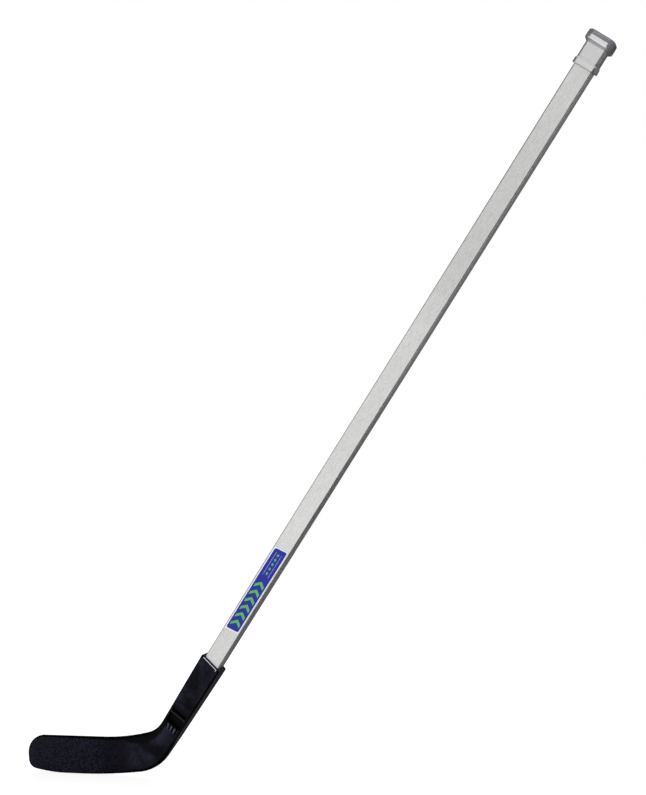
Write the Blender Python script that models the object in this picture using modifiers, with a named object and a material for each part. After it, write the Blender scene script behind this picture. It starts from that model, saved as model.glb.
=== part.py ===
# Floor hockey stick: a hollow aluminium shaft with a push-on butt cap, a moulded
# blade whose socket takes the shaft's lower end, two fixing screws and a label film.
#
# The stick stands on its sole as it is played. X runs from the toe to the heel, Y away
# from the front face, Z up, and the origin is the middle of the sole's flat stretch.
# "Height" along the shaft is measured on its centre line, from where that line meets
# the floor. "Across" is the shaft's wide direction, positive towards the heel side.

import math

import bmesh
import bpy
from mathutils import Matrix, Vector

CLEARANCE = 0.0003
SHARP_ANGLE = math.radians(32)
SHORTEST_SIDE = 0.00001
CUT_PAST = 0.004

# Shaft: an extruded tube, 30 x 20 mm
LEAN = math.radians(38.3)
FOOT_X = 0.1364
SHAFT_WIDTH = 0.030
SHAFT_DEPTH = 0.020
SHAFT_CORNER = 0.0025
SHAFT_WALL = 0.0015
SHAFT_LENGTH = 1.222

# Blade outline, seen from the front
BLADE_HEIGHT = 0.0628
TIP_X = -0.0862
SOLE_FLAT = 0.024
TOE_TOP_RADIUS = 0.033
TOE_BASE_RADIUS = 0.0155
TOE_RISE_ANGLE = math.radians(11.0)
TOE_RISE_RADIUS = 0.330
HEEL_RISE_ANGLE = math.radians(6.0)
HEEL_RISE_RADIUS = 1.030
HEEL_RADIUS = 0.085
TOP_RISE_X = 0.1036
TOP_RISE_ANGLE = math.radians(11.5)
TOP_RISE_RADIUS = 0.380
THROAT_RADIUS = 0.064

# Socket and neck
SOCKET_GRIP = 0.0906
SOCKET_FLOOR = 0.150
MOUTH_WIDTH = 0.0405
MOUTH_SLANT = math.radians(6.7)
NECK_WIDTH = 0.0378
NECK_HEIGHT = 0.112
MOUTH_ROUNDING = 0.0028

# Half thickness of the blade moulding, and how far its edges are rounded in the plane
# of the blade and through its thickness
MOUTH_SECTION = (0.0140, 0.0035, 0.0035)
NECK_SECTION = (0.0110, 0.0045, 0.0050)
HEEL_SECTION = (0.0075, 0.0070, 0.0058)
MIDDLE_SECTION = (0.0050, 0.0032, 0.0030)
TOE_SECTION = (0.0040, 0.0024, 0.0022)
SECTIONS = (MOUTH_SECTION, NECK_SECTION, HEEL_SECTION, MIDDLE_SECTION, TOE_SECTION)
SLANT_FADE = 0.050

# How finely the moulding is divided
SOCKET_RUNGS = 10
BEND_RUNGS = 20
HEEL_RUNGS = 9
SOLE_RUNGS = 3
TAPER_RUNGS = 5
TOE_RUNGS = 14
EDGE_STEPS = 6
MOUTH_STEPS = 5

# Recess in the neck, the same on both faces
POCKET_TOP = 0.1305
POCKET_BASE = 0.1125
POCKET_WIDTH = 0.0300
POCKET_CORNER = 0.0022
POCKET_WEB = 0.0075
POCKET_DRAFT = 0.0008
BAR_THICKNESS = 0.0034
SCOOP_TOP = 0.1470
SCOOP_DEPTH = 0.0036
SCOOP_WIDTH = 0.0285
FLUTE_COUNT = 4
FLUTE_PITCH = 0.0072
FLUTE_WIDTH = 0.0034
FLUTE_ROUNDING = 0.0012
FLUTE_ROUNDING_STEPS = 3
FLUTE_STEP = 0.0010
FLUTE_OVERLAP = 0.0010
FLUTE_RUN = 0.0125
FLUTE_FAN = math.radians(16.0)

# Butt cap: heights counted down from its top or up from its base, and walls counted
# out from its bore
CAP_HEIGHT = 0.0539
CAP_TOP_WALL = 0.0076
CAP_SLEEVE_WALL = 0.0017
CAP_BEAD_WALL = 0.0033
CAP_BEAD_HEIGHT = 0.0085
CAP_BEAD_CHAMFER = 0.0010
CAP_BEAD_SLOPE = 0.0020
CAP_CROWN_WALL = 0.0070
CAP_CROWN_TILT = math.radians(11.0)
CAP_CROWN_HEIGHT = 0.0181
CAP_CROWN_EDGE = 0.0144
CAP_CROWN_BEVEL = 0.0078
CAP_CROWN_BEVEL_INSET = 0.0020
CAP_CROWN_ROUNDING = 0.0028
CAP_CROWN_STEPS = 7
CAP_CORNER_STEPS = 10
CAP_DRAFT = 0.0006

# Label film on the front face
LABEL_BASE = 0.3095
LABEL_LENGTH = 0.1620
LABEL_WIDTH = 0.0246
LABEL_SLANT = math.radians(12.5)
LABEL_CORNER = 0.0022
LABEL_THICKNESS = 0.0002

# Fixing screws, in the back of the socket
SCREW_NAMES = ("upper_screw", "lower_screw")
SCREW_HEIGHT = 0.2220
SCREW_PITCH = 0.0500
SCREW_RADIUS = 0.00175
SCREW_HEAD_RADIUS = 0.0034
SCREW_HEAD_EDGE = 0.0002
SCREW_SUNK = 0.0001
SCREW_LENGTH = 0.0120
SCREW_POINT = 0.0030
SCREW_SIDES = 16


def clear_scene():
    for obj in list(bpy.data.objects):
        bpy.data.objects.remove(obj)


def new_collection(name):
    collection = bpy.data.collections.new(name)
    bpy.context.scene.collection.children.link(collection)
    return collection


def new_object(name, mesh, collection, parent=None):
    obj = bpy.data.objects.new(name, mesh)
    collection.objects.link(obj)
    obj.parent = parent
    return obj


def plain_material(name, colour, roughness, metallic=0.0):
    material = bpy.data.materials.new(name)
    material.use_nodes = True
    shader = material.node_tree.nodes["Principled BSDF"]
    shader.inputs["Base Color"].default_value = (*colour, 1.0)
    shader.inputs["Roughness"].default_value = roughness
    shader.inputs["Metallic"].default_value = metallic
    return material


def finish_mesh(bm, name):
    bmesh.ops.recalc_face_normals(bm, faces=bm.faces)
    mesh = bpy.data.meshes.new(name)
    bm.to_mesh(mesh)
    bm.free()
    return mesh


def cut(obj, cutter):
    cutter.hide_render = True
    cutter.display_type = "WIRE"
    modifier = obj.modifiers.new(cutter.name, "BOOLEAN")
    modifier.operation = "DIFFERENCE"
    modifier.object = cutter


def shading_by_angle():
    """A node group that smooths a mesh and keeps its edges over SHARP_ANGLE sharp."""
    group = bpy.data.node_groups.new("shading_by_angle", "GeometryNodeTree")
    group.interface.new_socket("Mesh", in_out="INPUT", socket_type="NodeSocketGeometry")
    group.interface.new_socket("Mesh", in_out="OUTPUT", socket_type="NodeSocketGeometry")
    nodes = group.nodes
    given = nodes.new("NodeGroupInput")
    result = nodes.new("NodeGroupOutput")
    angle = nodes.new("GeometryNodeInputMeshEdgeAngle")
    gentle = nodes.new("FunctionNodeCompare")
    gentle.operation = "LESS_THAN"
    gentle.inputs["B"].default_value = SHARP_ANGLE
    faces = nodes.new("GeometryNodeSetShadeSmooth")
    edges = nodes.new("GeometryNodeSetShadeSmooth")
    edges.domain = "EDGE"
    group.links.new(given.outputs["Mesh"], faces.inputs["Geometry"])
    group.links.new(faces.outputs["Geometry"], edges.inputs["Geometry"])
    group.links.new(angle.outputs["Unsigned Angle"], gentle.inputs["A"])
    group.links.new(gentle.outputs["Result"], edges.inputs["Shade Smooth"])
    group.links.new(edges.outputs["Geometry"], result.inputs["Mesh"])
    return group


def shade(obj, group):
    obj.modifiers.new("shading", "NODES").node_group = group
    weighted = obj.modifiers.new("even_normals", "WEIGHTED_NORMAL")
    weighted.keep_sharp = True


# Rings of points, and skins over them


def rounded_rectangle(half_width, half_depth, radius, steps=5):
    """Corner-rounded rectangle, anticlockwise seen from +Z."""
    points = []
    for corner, (sx, sy) in enumerate(((1, 1), (-1, 1), (-1, -1), (1, -1))):
        centre = Vector((sx * (half_width - radius), sy * (half_depth - radius)))
        for step in range(steps + 1):
            angle = math.radians(90 * (corner + step / steps))
            points.append(centre + radius * Vector((math.cos(angle), math.sin(angle))))
    return points


def level(points, height):
    return [Vector((point.x, point.y, height)) for point in points]


def skin(name, rings, closed_ends=True):
    """A skin over rings of points, which all have as many points."""
    bm = bmesh.new()
    rows = [[bm.verts.new(point) for point in ring] for ring in rings]
    for low, high in zip(rows, rows[1:]):
        for i in range(len(low)):
            j = (i + 1) % len(low)
            bm.faces.new((low[i], low[j], high[j], high[i]))
    if closed_ends:
        bm.faces.new(rows[0][::-1])
        bm.faces.new(rows[-1])
    return finish_mesh(bm, name)


def box_between(name, low, high, collection, parent):
    bm = bmesh.new()
    size = Vector(high) - Vector(low)
    middle = (Vector(high) + Vector(low)) / 2
    place = Matrix.Translation(middle) @ Matrix.Diagonal((*size, 1.0))
    bmesh.ops.create_cube(bm, size=1.0, matrix=place)
    return new_object(name, finish_mesh(bm, name), collection, parent)


# Blade outline: straight lines joined by arcs, in the XZ plane


def on_shaft(across, height):
    """The XZ point at that distance across the shaft's centre line and height along it."""
    return Vector(
        (
            FOOT_X + across * math.cos(LEAN) + height * math.sin(LEAN),
            -across * math.sin(LEAN) + height * math.cos(LEAN),
        )
    )


def meet(point_a, along_a, point_b, along_b):
    """Where two lines meet, each given by a point and a direction."""
    gap = point_b - point_a
    share = gap.cross(along_b) / along_a.cross(along_b)
    return point_a + along_a * share


def heading(angle):
    return Vector((math.cos(angle), math.sin(angle)))


def rounded_path(start, corners, steps=24):
    """Points from start through each (corner, radius), every corner but the last rounded.
    Where two roundings would run into each other, both shrink to share the line."""
    places = [start] + [corner for corner, _ in corners]
    turns = []
    for before, corner, after, (_, radius) in zip(places, places[1:], places[2:], corners):
        back = (before - corner).normalized()
        ahead = (after - corner).normalized()
        half = back.angle(ahead) / 2
        turns.append([corner, back, ahead, half, radius / math.tan(half)])
    for one, other in zip(turns, turns[1:]):
        room = (other[0] - one[0]).length / (one[-1] + other[-1])
        if room < 1:
            one[-1] *= room
            other[-1] *= room

    path = [start]
    for corner, back, ahead, half, reach in turns:
        radius = reach * math.tan(half)
        centre = corner + (back + ahead).normalized() * radius / math.sin(half)
        first = corner + back * reach - centre
        turn = (math.pi - 2 * half) * (1 if back.cross(ahead) < 0 else -1)
        for step in range(steps + 1):
            angle = turn * step / steps
            path.append(centre + Matrix.Rotation(angle, 2) @ first)
    path.append(places[-1])
    return path


def hit(path, origin, along):
    """Where a ray first crosses a path, and the path's normal there, back along the ray."""
    nearest = None
    for a, b in zip(path, path[1:]):
        side = b - a
        if side.length < SHORTEST_SIDE or abs(along.cross(side)) < SHORTEST_SIDE**2:
            continue
        reach = (a - origin).cross(side) / along.cross(side)
        share = (a - origin).cross(along) / along.cross(side)
        if reach > 0 and -0.001 <= share <= 1.001 and (nearest is None or reach < nearest[0]):
            nearest = (reach, side.normalized())
    reach, trend = nearest
    normal = Vector((trend.y, -trend.x))
    return origin + along * reach, normal if normal.dot(along) < 0 else -normal


def blade_paths():
    """The upper edge, from the mouth over the throat to the toe's tip, and the lower one."""
    mouth = SOCKET_FLOOR + SOCKET_GRIP
    above = mouth + MOUTH_WIDTH * math.tan(MOUTH_SLANT)
    grow = (MOUTH_WIDTH - NECK_WIDTH) / (mouth - NECK_HEIGHT)
    start_width = NECK_WIDTH + grow * (above - NECK_HEIGHT)
    upper_start, lower_start = (on_shaft(side * start_width / 2, above) for side in (-1, 1))
    upper_neck, lower_neck = (on_shaft(side * NECK_WIDTH / 2, NECK_HEIGHT) for side in (-1, 1))

    top_rise = Vector((TOP_RISE_X, BLADE_HEIGHT))
    throat = meet(upper_start, upper_neck - upper_start, top_rise, heading(TOP_RISE_ANGLE))
    upper = rounded_path(
        upper_start,
        [
            (throat, THROAT_RADIUS),
            (top_rise, TOP_RISE_RADIUS),
            (Vector((TIP_X, BLADE_HEIGHT)), TOE_TOP_RADIUS),
            (Vector((TIP_X, BLADE_HEIGHT - TOE_TOP_RADIUS)), 0),
        ],
    )

    heel_rise = Vector((SOLE_FLAT / 2 + HEEL_RISE_RADIUS * math.tan(HEEL_RISE_ANGLE / 2), 0))
    heel = meet(lower_start, lower_neck - lower_start, heel_rise, heading(HEEL_RISE_ANGLE))
    toe_rise = Vector((-SOLE_FLAT / 2 - TOE_RISE_RADIUS * math.tan(TOE_RISE_ANGLE / 2), 0))
    toe_base = Vector((TIP_X, (toe_rise.x - TIP_X) * math.tan(TOE_RISE_ANGLE)))
    toe_start = toe_base.y + TOE_BASE_RADIUS * math.tan(math.pi / 4 - TOE_RISE_ANGLE / 2)
    lower = rounded_path(
        lower_start,
        [
            (heel, HEEL_RADIUS),
            (heel_rise, HEEL_RISE_RADIUS),
            (toe_rise, TOE_RISE_RADIUS),
            (toe_base, TOE_BASE_RADIUS),
            (Vector((TIP_X, toe_start)), 0),
        ],
    )
    return upper, lower


def bend_height(upper):
    """Height along the shaft where the throat's rounding starts."""
    up = on_shaft(0, 1) - on_shaft(0, 0)
    return (upper[1] - on_shaft(0, 0)).dot(up)


def blade_rungs(upper, lower):
    """Pairs of facing outline points down the blade, each with its inward direction, and
    the number of the rung where each section of SECTIONS stands."""
    rungs = []

    def add(origin, along, square):
        pair = []
        for path, side in ((upper, -1), (lower, 1)):
            point, normal = hit(path, origin, along * side)
            pair.append((point, normal if square else along * -side))
        rungs.append(pair)

    def add_upright(start, end, count):
        for step in range(1, count + 1):
            x = start + (end - start) * step / count
            add(Vector((x, BLADE_HEIGHT / 2)), Vector((0, -1)), True)

    mouth = SOCKET_FLOOR + SOCKET_GRIP
    bend = bend_height(upper)
    pivot = upper[1] - heading(-LEAN) * THROAT_RADIUS
    for step in range(SOCKET_RUNGS):
        height = mouth + (bend - mouth) * step / SOCKET_RUNGS
        slant = MOUTH_SLANT * max(1 - (mouth - height) / SLANT_FADE, 0)
        add(on_shaft(0, height), heading(-LEAN - slant), False)
    keys = [0, len(rungs)]

    for step in range(BEND_RUNGS + 1):
        along = heading(-LEAN - (math.pi / 2 - LEAN) * step / BEND_RUNGS)
        add(pivot + along * (THROAT_RADIUS + 0.5 * NECK_WIDTH), along, True)
    keys.append(keys[1] + BEND_RUNGS // 2)

    add_upright(pivot.x, SOLE_FLAT / 2, HEEL_RUNGS)
    add_upright(SOLE_FLAT / 2, -SOLE_FLAT / 2, SOLE_RUNGS)
    keys.append(len(rungs) - 1)
    add_upright(-SOLE_FLAT / 2, TIP_X + TOE_TOP_RADIUS, TAPER_RUNGS)

    middle_z = (upper[-1].y + lower[-1].y) / 2
    for step in range(1, TOE_RUNGS):
        x = TIP_X + TOE_TOP_RADIUS * (1 - math.cos(math.pi / 2 * (1 - step / TOE_RUNGS)))
        add(Vector((x, middle_z)), Vector((0, -1)), True)
    rungs.append([(upper[-1], Vector((1, 0))), (lower[-1], Vector((1, 0)))])
    keys.append(len(rungs) - 1)
    return rungs, keys


def blade_sections(rungs, keys):
    """Half thickness and edge rounding at each rung, eased from one key rung to the next."""
    middles = [(top[0] + low[0]) / 2 for top, low in rungs]
    run = [0.0]
    for a, b in zip(middles, middles[1:]):
        run.append(run[-1] + (b - a).length)
    sections = []
    for i, distance in enumerate(run):
        k = max(n for n in range(len(keys) - 1) if keys[n] <= i)
        share = (distance - run[keys[k]]) / (run[keys[k + 1]] - run[keys[k]])
        if k > 0:
            share = share * share * (3 - 2 * share)
        sections.append([a + (b - a) * share for a, b in zip(SECTIONS[k], SECTIONS[k + 1])])
    return sections


def edge_points(point, inward, section, shrink):
    """The rounded edge at an outline point, from the front face round to the back."""
    half, inset, depth = (size - shrink for size in section)
    points = []
    for face in (-1, 1):
        for step in range(EDGE_STEPS + 1):
            turn = step if face > 0 else EDGE_STEPS - step
            angle = math.pi / 2 * turn / EDGE_STEPS
            place = point + inward * (shrink + inset * (1 - math.cos(angle)))
            y = face * (half - depth + depth * math.sin(angle))
            points.append(Vector((place.x, y, place.y)))
    return points


def blade_body():
    """A loft over the rungs, rounded at the mouth and closed by quads at both ends."""
    rungs, keys = blade_rungs(*blade_paths())
    sections = blade_sections(rungs, keys)
    rings = []
    for pair, section in zip(rungs, sections):
        rings.append([edge_points(*edge, section, 0) for edge in pair])

    up = Vector((math.sin(LEAN), math.cos(LEAN)))
    for step in range(1, MOUTH_STEPS + 1):
        angle = math.pi / 2 * step / MOUTH_STEPS
        shrink = MOUTH_ROUNDING * (1 - math.cos(angle))
        rise = up * MOUTH_ROUNDING * math.sin(angle)
        pair = [(point + rise, inward) for point, inward in rungs[0]]
        rings.insert(0, [edge_points(*edge, sections[0], shrink) for edge in pair])

    bm = bmesh.new()
    rows = [[bm.verts.new(p) for p in top + low[::-1]] for top, low in rings]
    count = len(rows[0])
    for one, other in zip(rows, rows[1:]):
        for i in range(count):
            j = (i + 1) % count
            bm.faces.new((one[i], one[j], other[j], other[i]))
    for row in (rows[0], rows[-1]):
        for i in range(count // 2 - 1):
            bm.faces.new((row[i], row[i + 1], row[count - 2 - i], row[count - 1 - i]))
    return finish_mesh(bm, "blade")


def screw_heights():
    return [SCREW_HEIGHT - i * SCREW_PITCH for i in range(len(SCREW_NAMES))]


def moulding_half_depth(height):
    """Half thickness of the socket and neck at a height along the shaft."""
    mouth = SOCKET_FLOOR + SOCKET_GRIP
    bend = bend_height(blade_paths()[0])
    share = min(max((mouth - height) / (mouth - bend), 0.0), 1.0)
    return MOUTH_SECTION[0] + (NECK_SECTION[0] - MOUTH_SECTION[0]) * share


# Pieces


def make_shaft(collection, cutters, axis):
    outline = rounded_rectangle(SHAFT_WIDTH / 2, SHAFT_DEPTH / 2, SHAFT_CORNER)
    base = SOCKET_FLOOR + CLEARANCE
    ends = [level(outline, base), level(outline, base + SHAFT_LENGTH)]
    mesh = skin("shaft", ends, closed_ends=False)
    shaft = new_object("shaft", mesh, collection, axis)
    wall = shaft.modifiers.new("wall", "SOLIDIFY")
    wall.thickness = SHAFT_WALL
    wall.offset = -1.0
    wall.use_even_offset = True
    hole = SCREW_RADIUS + CLEARANCE
    for name, height in zip(SCREW_NAMES, screw_heights()):
        bm = bmesh.new()
        bmesh.ops.create_cone(
            bm,
            cap_ends=True,
            segments=SCREW_SIDES,
            radius1=hole,
            radius2=hole,
            depth=SHAFT_DEPTH / 2,
        )
        drill = new_object(f"{name}_pilot", finish_mesh(bm, "pilot"), cutters, axis)
        drill.location = (0, SHAFT_DEPTH / 2, height)
        drill.rotation_euler = (math.radians(90), 0, 0)
        cut(shaft, drill)
    return shaft


def make_pockets(blade, cutters, axis):
    """The neck's recess on both faces: a scoop above a cross bar, a deep pocket below it,
    and flutes that run out of the pocket and leave ribs between them."""
    for face, side in (("front", -1), ("back", 1)):
        half_width = POCKET_WIDTH / 2
        half_height = (POCKET_TOP - POCKET_BASE) / 2
        surface = moulding_half_depth(POCKET_TOP) + CUT_PAST
        rings = []
        for y, grow in ((POCKET_WEB / 2, 0.0), (surface, POCKET_DRAFT)):
            outline = rounded_rectangle(
                half_width + grow, half_height + grow, POCKET_CORNER + grow
            )
            rings.append(level(outline, y))
        pocket = new_object(f"pocket_{face}", skin("pocket", rings), cutters, axis)
        pocket.location = (0, 0, (POCKET_TOP + POCKET_BASE) / 2)
        pocket.rotation_euler = (math.radians(-90 * side), 0, 0)
        cut(blade, pocket)
        cut(blade, make_scoop(cutters, axis, face, side))
        make_flutes(blade, cutters, axis, face, side)


def make_scoop(cutters, axis, face, side):
    """A wedge that starts at the face at its top and is deepest above the cross bar."""
    low = POCKET_TOP + BAR_THICKNESS
    low_face = moulding_half_depth(low)
    high_face = moulding_half_depth(SCOOP_TOP)
    slope = (high_face - low_face + SCOOP_DEPTH) / (SCOOP_TOP - low)
    high = SCOOP_TOP + CUT_PAST / slope
    corners = [
        (low, low_face - SCOOP_DEPTH),
        (low, high_face + 2 * CUT_PAST),
        (high, high_face + 2 * CUT_PAST),
        (high, high_face + CUT_PAST),
    ]
    rings = [
        [Vector((across, side * y, z)) for z, y in corners]
        for across in (-SCOOP_WIDTH / 2, SCOOP_WIDTH / 2)
    ]
    return new_object(f"scoop_{face}", skin("scoop", rings), cutters, axis)


def make_flutes(blade, cutters, axis, face, side):
    """Slots with rounded floors, which rise from the pocket to the face and fan out."""
    start_y = POCKET_WEB / 2 + FLUTE_STEP
    climb = moulding_half_depth(POCKET_BASE - FLUTE_RUN) - start_y
    for i in range(FLUTE_COUNT):
        place = i - (FLUTE_COUNT - 1) / 2
        fan = FLUTE_FAN * (1 - i / (FLUTE_COUNT - 1))
        down = Vector((math.sin(fan), side * climb / FLUTE_RUN, -math.cos(fan))).normalized()
        out = (Vector((0, side, 0)) - down * down.y * side).normalized()
        flute = box_between(
            f"flute_{face}_{i + 1}",
            (-FLUTE_WIDTH / 2, 0, -FLUTE_OVERLAP),
            (FLUTE_WIDTH / 2, NECK_SECTION[0], 2 * FLUTE_RUN),
            cutters,
            axis,
        )
        round_floor(flute)
        turn = Matrix((out.cross(down), out, down)).transposed()
        start = Vector((place * FLUTE_PITCH, side * start_y, POCKET_BASE))
        flute.matrix_local = Matrix.LocRotScale(start, turn.to_quaternion(), None)
        cut(blade, flute)


def round_floor(flute):
    """Bevels the two long edges of the flute's floor, which lies at its own y = 0."""
    bevel = flute.modifiers.new("round_floor", "BEVEL")
    bevel.width = FLUTE_ROUNDING
    bevel.segments = FLUTE_ROUNDING_STEPS
    bevel.limit_method = "WEIGHT"
    weights = flute.data.attributes.new("bevel_weight_edge", "FLOAT", "EDGE")
    for edge in flute.data.edges:
        one, other = (flute.data.vertices[v].co for v in edge.vertices)
        on_floor = max(one.y, other.y) < SHORTEST_SIDE
        lengthwise = abs(one.z - other.z) > SHORTEST_SIDE
        weights.data[edge.index].value = float(on_floor and lengthwise)


def make_blade(collection, cutters, axis):
    blade = new_object("blade", blade_body(), collection)
    hollow = rounded_rectangle(
        SHAFT_WIDTH / 2 + CLEARANCE, SHAFT_DEPTH / 2 + CLEARANCE, SHAFT_CORNER + CLEARANCE
    )
    mouth = SOCKET_FLOOR + SOCKET_GRIP
    past_mouth = mouth + MOUTH_WIDTH * math.tan(MOUTH_SLANT) + MOUTH_ROUNDING + CUT_PAST
    ends = [level(hollow, SOCKET_FLOOR), level(hollow, past_mouth)]
    cut(blade, new_object("socket_bore", skin("socket_bore", ends), cutters, axis))

    for name, height in zip(SCREW_NAMES, screw_heights()):
        drill = new_object(f"{name}_hole", screw_hole(height), cutters, axis)
        drill.location = (0, 0, height)
        drill.rotation_euler = (math.radians(-90), 0, 0)
        cut(blade, drill)

    make_pockets(blade, cutters, axis)
    return blade


def screw_hole(height):
    """A clearance hole with a countersink in the back of the socket."""
    face = moulding_half_depth(height)
    hole = SCREW_RADIUS + CLEARANCE
    head = SCREW_HEAD_RADIUS + CLEARANCE
    steps = [
        (hole, SHAFT_DEPTH / 2 - CUT_PAST),
        (hole, face - (head - hole)),
        (head, face),
        (head, face + CUT_PAST),
    ]
    turns = [heading(math.tau * i / SCREW_SIDES) for i in range(SCREW_SIDES)]
    rings = [level([turn * radius for turn in turns], y) for radius, y in steps]
    return skin("screw_hole", rings)


def make_cap(collection, cutters, axis):
    """A moulded cap: a bead, a sleeve and a crown, hollow over the shaft's end. The
    crown is tilted, so that its back is lower, and bevelled along its front and back."""
    width = SHAFT_WIDTH / 2 + CLEARANCE
    depth = SHAFT_DEPTH / 2 + CLEARANCE
    corner = SHAFT_CORNER + CLEARANCE
    shaft_top = SOCKET_FLOOR + CLEARANCE + SHAFT_LENGTH
    top = shaft_top + CLEARANCE + CAP_TOP_WALL
    base = top - CAP_HEIGHT
    bead = base + CAP_BEAD_HEIGHT
    crown_front = depth + CAP_CROWN_WALL
    fall = math.tan(CAP_CROWN_TILT)
    flank = CAP_CROWN_WALL
    front = CAP_CROWN_WALL - CAP_CROWN_BEVEL_INSET

    # height, wall on the narrow sides, wall at front and back, fall towards the back
    profile = [
        (base, CAP_BEAD_WALL - CAP_BEAD_CHAMFER, CAP_BEAD_WALL - CAP_BEAD_CHAMFER, 0),
        (base + CAP_BEAD_CHAMFER, CAP_BEAD_WALL, CAP_BEAD_WALL, 0),
        (bead, CAP_BEAD_WALL - CAP_DRAFT / 2, CAP_BEAD_WALL - CAP_DRAFT / 2, 0),
        (bead + CAP_BEAD_SLOPE, CAP_SLEEVE_WALL, CAP_SLEEVE_WALL, 0),
        (top - CAP_CROWN_HEIGHT, CAP_SLEEVE_WALL, CAP_SLEEVE_WALL, fall),
        (top - CAP_CROWN_EDGE, flank - CAP_DRAFT, CAP_CROWN_WALL, fall),
        (top - CAP_CROWN_BEVEL, flank - CAP_DRAFT / 2, CAP_CROWN_WALL, fall),
        (top - CAP_CROWN_ROUNDING, flank, front, fall),
    ]
    for step in range(1, CAP_CROWN_STEPS + 1):
        angle = math.pi / 2 * step / CAP_CROWN_STEPS
        inset = CAP_CROWN_ROUNDING * (1 - math.cos(angle))
        lift = CAP_CROWN_ROUNDING * (1 - math.sin(angle))
        profile.append((top - lift, flank - inset, front - inset, fall))

    rings = []
    for height, side, face, slope in profile:
        outline = rounded_rectangle(width + side, depth + face, corner + side, CAP_CORNER_STEPS)
        rings.append([Vector((p.x, p.y, height - (p.y + crown_front) * slope)) for p in outline])
    cap = new_object("butt_cap", skin("butt_cap", rings), collection, axis)

    hollow = rounded_rectangle(width, depth, corner)
    ends = [level(hollow, base - CUT_PAST), level(hollow, top - CAP_TOP_WALL)]
    cut(cap, new_object("cap_bore", skin("cap_bore", ends), cutters, axis))
    return cap


def make_label(collection, axis):
    """A thin film with slanted ends, cut from a flat outline."""
    lift = LABEL_WIDTH / 2 * math.tan(LABEL_SLANT)
    half = LABEL_LENGTH / 2
    corners = [
        Vector((LABEL_WIDTH / 2, -half + lift)),
        Vector((LABEL_WIDTH / 2, half + lift)),
        Vector((-LABEL_WIDTH / 2, half - lift)),
        Vector((-LABEL_WIDTH / 2, -half - lift)),
    ]
    start = (corners[3] + corners[0]) / 2
    rounded = rounded_path(start, [(c, LABEL_CORNER) for c in corners] + [(start, 0)], steps=5)
    outline = rounded[:-1]
    curve = bpy.data.curves.new("label", "CURVE")
    curve.dimensions = "2D"
    curve.fill_mode = "BOTH"
    curve.extrude = LABEL_THICKNESS / 2
    spline = curve.splines.new("POLY")
    spline.points.add(len(outline) - 1)
    for point, place in zip(spline.points, outline):
        point.co = (place.x, place.y, 0, 1)
    spline.use_cyclic_u = True
    label = new_object("label", curve, collection, axis)
    seat = SHAFT_DEPTH / 2 + CLEARANCE + LABEL_THICKNESS / 2
    label.location = (0, -seat, LABEL_BASE + half)
    label.rotation_euler = (math.radians(90), 0, 0)
    return label


def make_screws(collection, axis, material):
    """Countersunk self-tapping screws, turned from one profile."""
    sink = SCREW_HEAD_RADIUS - SCREW_RADIUS
    profile = [
        (0, 0),
        (SCREW_HEAD_RADIUS, 0),
        (SCREW_HEAD_RADIUS, -SCREW_HEAD_EDGE),
        (SCREW_RADIUS, -SCREW_HEAD_EDGE - sink),
        (SCREW_RADIUS, -SCREW_LENGTH + SCREW_POINT),
        (0, -SCREW_LENGTH),
    ]
    bm = bmesh.new()
    points = [bm.verts.new((x, 0, z)) for x, z in profile]
    for a, b in zip(points, points[1:]):
        bm.edges.new((a, b))
    mesh = bpy.data.meshes.new("screw_profile")
    bm.to_mesh(mesh)
    bm.free()
    mesh.materials.append(material)
    for name, height in zip(SCREW_NAMES, screw_heights()):
        screw = new_object(name, mesh, collection, axis)
        screw.location = (0, moulding_half_depth(height) - SCREW_SUNK, height)
        screw.rotation_euler = (math.radians(-90), 0, 0)
        turned = screw.modifiers.new("turned", "SCREW")
        turned.steps = SCREW_SIDES
        turned.render_steps = SCREW_SIDES
        turned.use_merge_vertices = True
        turned.merge_threshold = SHORTEST_SIDE
        turned.use_smooth_shade = True


def main():
    clear_scene()
    parts = new_collection("floor_hockey_stick")
    cutters = new_collection("cutters")
    axis = new_object("shaft_axis", None, parts)
    axis.location = (FOOT_X, 0, 0)
    axis.rotation_euler = (0, LEAN, 0)
    bpy.context.view_layer.update()

    aluminium = plain_material("brushed_aluminium", (0.62, 0.63, 0.62), 0.35, 1.0)
    black_plastic = plain_material("black_moulded_plastic", (0.006, 0.006, 0.012), 0.35)
    grey_plastic = plain_material("grey_cap_plastic", (0.30, 0.30, 0.31), 0.40)
    film = plain_material("printed_film", (0.02, 0.03, 0.28), 0.30)
    steel = plain_material("screw_steel", (0.45, 0.45, 0.46), 0.35, 1.0)

    make_shaft(parts, cutters, axis).data.materials.append(aluminium)
    make_blade(parts, cutters, axis).data.materials.append(black_plastic)
    make_cap(parts, cutters, axis).data.materials.append(grey_plastic)
    make_label(parts, axis).data.materials.append(film)
    make_screws(parts, axis, steel)

    shading = shading_by_angle()
    for obj in parts.objects:
        if obj.type == "MESH":
            shade(obj, shading)


main()
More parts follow.
